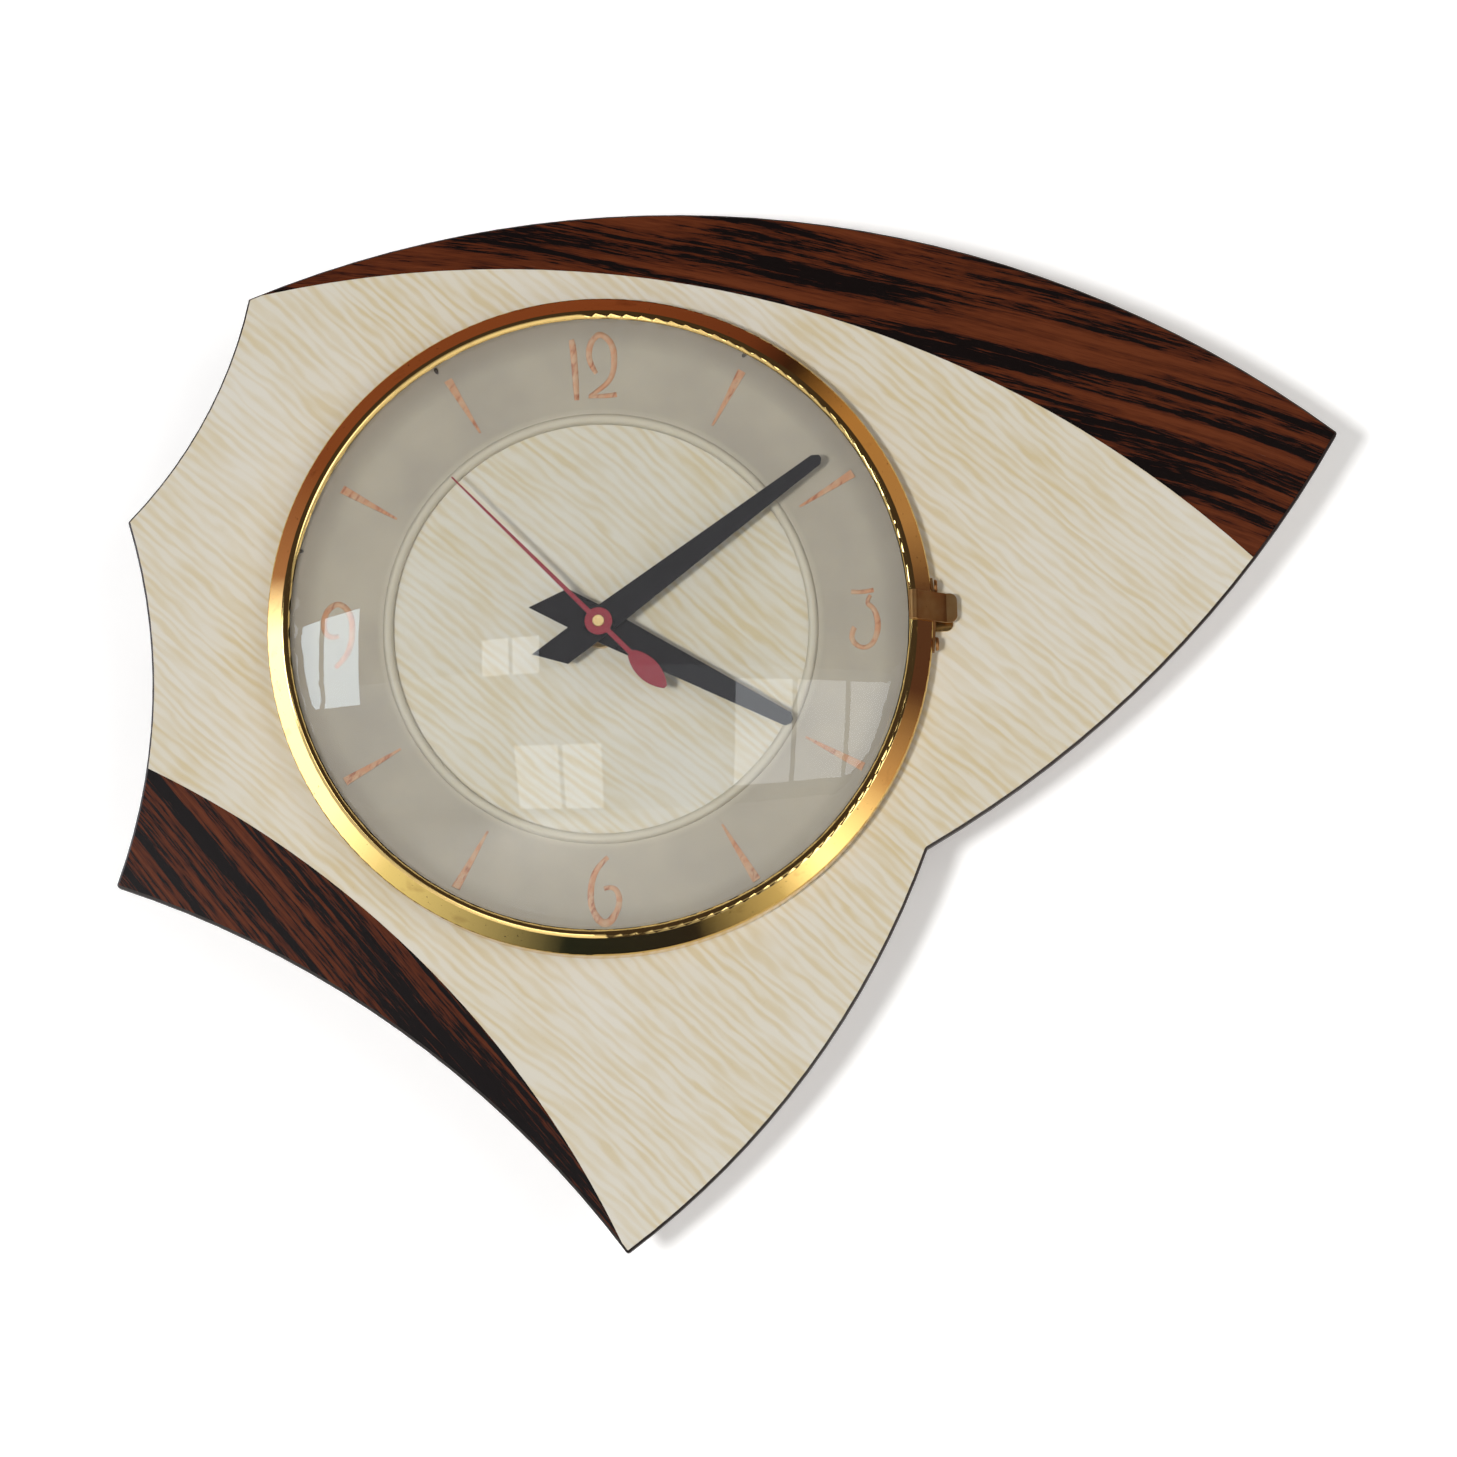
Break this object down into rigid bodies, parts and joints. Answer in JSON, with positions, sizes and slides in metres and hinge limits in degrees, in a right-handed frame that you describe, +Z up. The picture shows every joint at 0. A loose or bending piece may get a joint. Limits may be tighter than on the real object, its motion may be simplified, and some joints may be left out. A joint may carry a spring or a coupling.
{
  "type": "battery wall clock",
  "caption": "Wall clock with a shaped laminate board, round brass-framed dial under a hinged domed glass, and a battery movement in a housing behind.",
  "frame": {"origin": "point where the hands' axis meets the wall, on the rear face of the movement's dust cover", "axes": "+Z up, +X to the right seen from the front, +Y into the wall, so the dial faces -Y"},
  "size_m": [0.3147, 0.0642, 0.2678],
  "materials": {
    "cream_laminate": "satin",
    "dark_laminate": "satin",
    "core": "sealed",
    "polished_brass": "polished",
    "dull_brass": "tarnished",
    "movement_brass": "satin",
    "clear_glass": "clear",
    "clear_plastic": "clear",
    "milky_plastic": "satin",
    "copper_inlay": "satin",
    "black_hands": "satin",
    "red_hand": "gloss",
    "steel": "satin",
    "dark_pin": "dull",
    "black_plastic": "moulded",
    "cell_jacket": "gloss",
    "copper_wire": "enamelled",
    "circuit": "resin",
    "can": "satin"
  },
  "bodies": {
    "clock_body": {"board": "core", "laminate_cream": "cream_laminate", "laminate_dark_upper": "dark_laminate", "laminate_dark_lower": "dark_laminate", "base_ring": "dull_brass", "base_ring_screws": "steel", "chapter_ring": "milky_plastic", "chapter_ring_pins": "dark_pin", "hour_marks": "copper_inlay", "hinge_leaf_case": "dull_brass", "hinge_pin": "dull_brass", "catch_lug": "dull_brass", "centre_bush": "dull_brass", "centre_nut": "dull_brass", "front_plate": "movement_brass", "back_plate": "movement_brass", "plate_pillars": "movement_brass", "plate_screws": "steel", "hairspring": "steel", "hairspring_stud": "movement_brass", "balance_bridge": "movement_brass", "drive_coil": "copper_wire", "movement_case": "black_plastic", "case_screws": "steel", "dust_cover": "clear_plastic", "cover_screws": "steel", "hanger_bracket": "steel", "hanger_screws": "steel", "battery": "cell_jacket", "battery_contact_positive": "steel", "battery_contact_negative": "steel", "circuit_board": "circuit", "transistor": "can", "capacitor": "can"},
    "bezel_assembly": {"bezel": "polished_brass", "glass": "clear_glass", "glass_retainer": "polished_brass", "hinge_leaf_bezel": "polished_brass", "catch_strap": "polished_brass", "catch_plate": "dull_brass", "catch_rivets": "dull_brass"},
    "seconds_body": {"second_hand": "red_hand", "seconds_arbor": "movement_brass"},
    "centre_body": {"centre_wheel": "movement_brass"},
    "third_body": {"third_wheel": "movement_brass"},
    "index_body": {"index_wheel": "movement_brass"},
    "minute_body": {"minute_hand": "black_hands", "cannon_pinion": "movement_brass"},
    "hour_body": {"hour_hand": "black_hands", "hour_wheel": "movement_brass"},
    "minute_wheel_body": {"minute_wheel": "movement_brass"},
    "setting_body": {"set_knob": "black_plastic"},
    "balance_body": {"balance_wheel": "movement_brass", "balance_staff": "steel", "balance_magnets": "steel"},
    "regulator_body": {"regulator_lever": "steel"},
    "door_body": {"battery_door": "black_plastic"}
  },
  "joints": [
    {"name": "bezel_hinge", "type": "hinge", "parent": "clock_body", "child": "bezel_assembly", "pos_m": [-0.0841, -0.0395, 0], "axis": [0, 0, -1], "range_deg": [0, 90]},
    {"name": "second_hand_turn", "type": "hinge", "parent": "clock_body", "child": "seconds_body", "pos_m": [0, -0.038, 0], "axis": [0, 1, 0], "continuous": true},
    {"name": "centre_wheel_turn", "type": "hinge", "parent": "clock_body", "child": "centre_body", "pos_m": [0, -0.038, 0], "axis": [0, 1, 0], "continuous": true},
    {"name": "third_wheel_turn", "type": "hinge", "parent": "clock_body", "child": "third_body", "pos_m": [-0.01247, -0.019, 0.0072], "axis": [0, 1, 0], "continuous": true},
    {"name": "index_wheel_turn", "type": "hinge", "parent": "clock_body", "child": "index_body", "pos_m": [0.01103, -0.015, 0.00926], "axis": [0, 1, 0], "continuous": true},
    {"name": "minute_hand_turn", "type": "hinge", "parent": "clock_body", "child": "minute_body", "pos_m": [0, -0.038, 0], "axis": [0, 1, 0], "continuous": true},
    {"name": "hour_hand_turn", "type": "hinge", "parent": "clock_body", "child": "hour_body", "pos_m": [0, -0.038, 0], "axis": [0, 1, 0], "continuous": true},
    {"name": "minute_wheel_turn", "type": "hinge", "parent": "clock_body", "child": "minute_wheel_body", "pos_m": [0, -0.0284, -0.0096], "axis": [0, 1, 0], "continuous": true},
    {"name": "set_knob_turn", "type": "hinge", "parent": "clock_body", "child": "setting_body", "pos_m": [0, -0.0032, -0.0192], "axis": [0, 1, 0], "continuous": true},
    {"name": "balance_swing", "type": "hinge", "parent": "clock_body", "child": "balance_body", "pos_m": [0.01639, -0.0063, 0.01376], "axis": [0, 1, 0], "range_deg": [-220, 220], "stiffness_Nm_per_rad": 0.00006},
    {"name": "regulator_turn", "type": "hinge", "parent": "clock_body", "child": "regulator_body", "pos_m": [0.01639, -0.0032, 0.01376], "axis": [0, 1, 0], "range_deg": [-20, 20]},
    {"name": "battery_door_hinge", "type": "hinge", "parent": "clock_body", "child": "door_body", "pos_m": [0, -0.0022, -0.0552], "axis": [-1, 0, 0], "range_deg": [0, 100]}
  ],
  "couplings": [
    {"joint": "third_wheel_turn", "follows": "second_hand_turn", "ratio": -0.13333},
    {"joint": "centre_wheel_turn", "follows": "second_hand_turn", "ratio": 0.016667},
    {"joint": "index_wheel_turn", "follows": "second_hand_turn", "ratio": -5},
    {"joint": "hour_hand_turn", "follows": "minute_hand_turn", "ratio": 0.083333},
    {"joint": "minute_wheel_turn", "follows": "minute_hand_turn", "ratio": -0.33333},
    {"joint": "set_knob_turn", "follows": "minute_hand_turn", "ratio": 1}
  ]
}
